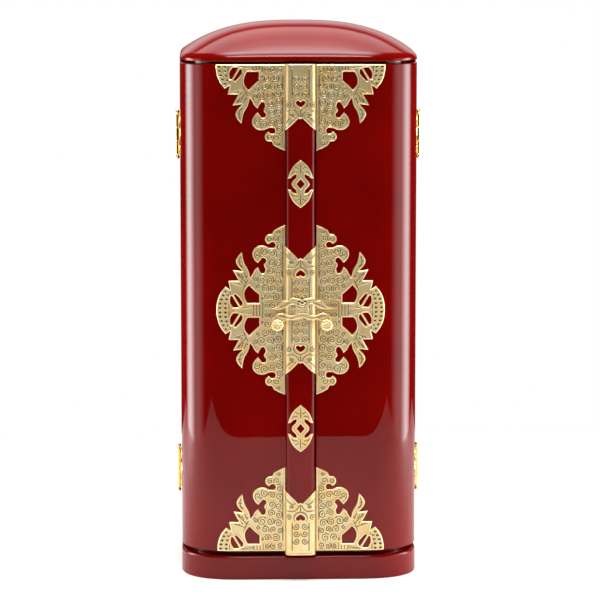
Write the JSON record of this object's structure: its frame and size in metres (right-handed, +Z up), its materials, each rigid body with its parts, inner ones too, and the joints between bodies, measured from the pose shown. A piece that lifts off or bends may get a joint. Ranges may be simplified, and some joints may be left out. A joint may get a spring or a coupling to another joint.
{
  "type": "portable shrine",
  "caption": "Upright lacquered cabinet with a domed roof and two bowed front doors on side hinges, openwork metal plates and a latch across the seam.",
  "frame": {"origin": "middle of the flat underside of the base, in the plane that it stands on", "axes": "+Z up, +X to the right as seen from the front, -Y out of the doors"},
  "size_m": [0.2762, 0.2288, 0.621],
  "materials": {
    "lacquer": "polished vermilion lacquer on wood",
    "gold_ground": "gold ground on wood",
    "gilt": "gilt brass, chased and polished",
    "hinge_brass": "polished brass"
  },
  "bodies": {
    "case": {"base": "lacquer", "roof": "lacquer", "back_board": "lacquer", "left_side": "lacquer", "right_side": "lacquer", "floor_board": "gold_ground", "ceiling_board": "gold_ground", "left_upper_case_leaf": "hinge_brass", "left_upper_hinge_pin": "hinge_brass", "left_lower_case_leaf": "hinge_brass", "left_lower_hinge_pin": "hinge_brass", "right_upper_case_leaf": "hinge_brass", "right_upper_hinge_pin": "hinge_brass", "right_lower_case_leaf": "hinge_brass", "right_lower_hinge_pin": "hinge_brass"},
    "left_door": {"left_door": "lacquer", "centre_strip": "lacquer", "top_sleeve": "gilt", "middle_sleeve": "gilt", "bottom_sleeve": "gilt", "upper_diamond": "gilt", "lower_diamond": "gilt", "left_stud": "gilt", "left_top_plate": "gilt", "left_middle_plate": "gilt", "left_bottom_plate": "gilt", "left_upper_door_leaf": "hinge_brass", "left_lower_door_leaf": "hinge_brass"},
    "right_door": {"right_door": "lacquer", "right_stud": "gilt", "right_top_plate": "gilt", "right_middle_plate": "gilt", "right_bottom_plate": "gilt", "right_upper_door_leaf": "hinge_brass", "right_lower_door_leaf": "hinge_brass"},
    "latch": {"latch": "gilt"}
  },
  "joints": [
    {"name": "left_door_hinge", "type": "hinge", "parent": "case", "child": "left_door", "pos_m": [-0.1355, -0.028, 0.304], "axis": [0, 0, -1], "range_deg": [0, 170]},
    {"name": "right_door_hinge", "type": "hinge", "parent": "case", "child": "right_door", "pos_m": [0.1355, -0.028, 0.304], "axis": [0, 0, 1], "range_deg": [0, 170]},
    {"name": "latch_pivot", "type": "hinge", "parent": "left_door", "child": "latch", "pos_m": [-0.0256, -0.1171, 0.289], "axis": [0, -1, 0], "range_deg": [0, 90]}
  ],
  "couplings": [
    {"joint": "right_door_hinge", "follows": "left_door_hinge", "ratio": 1}
  ]
}
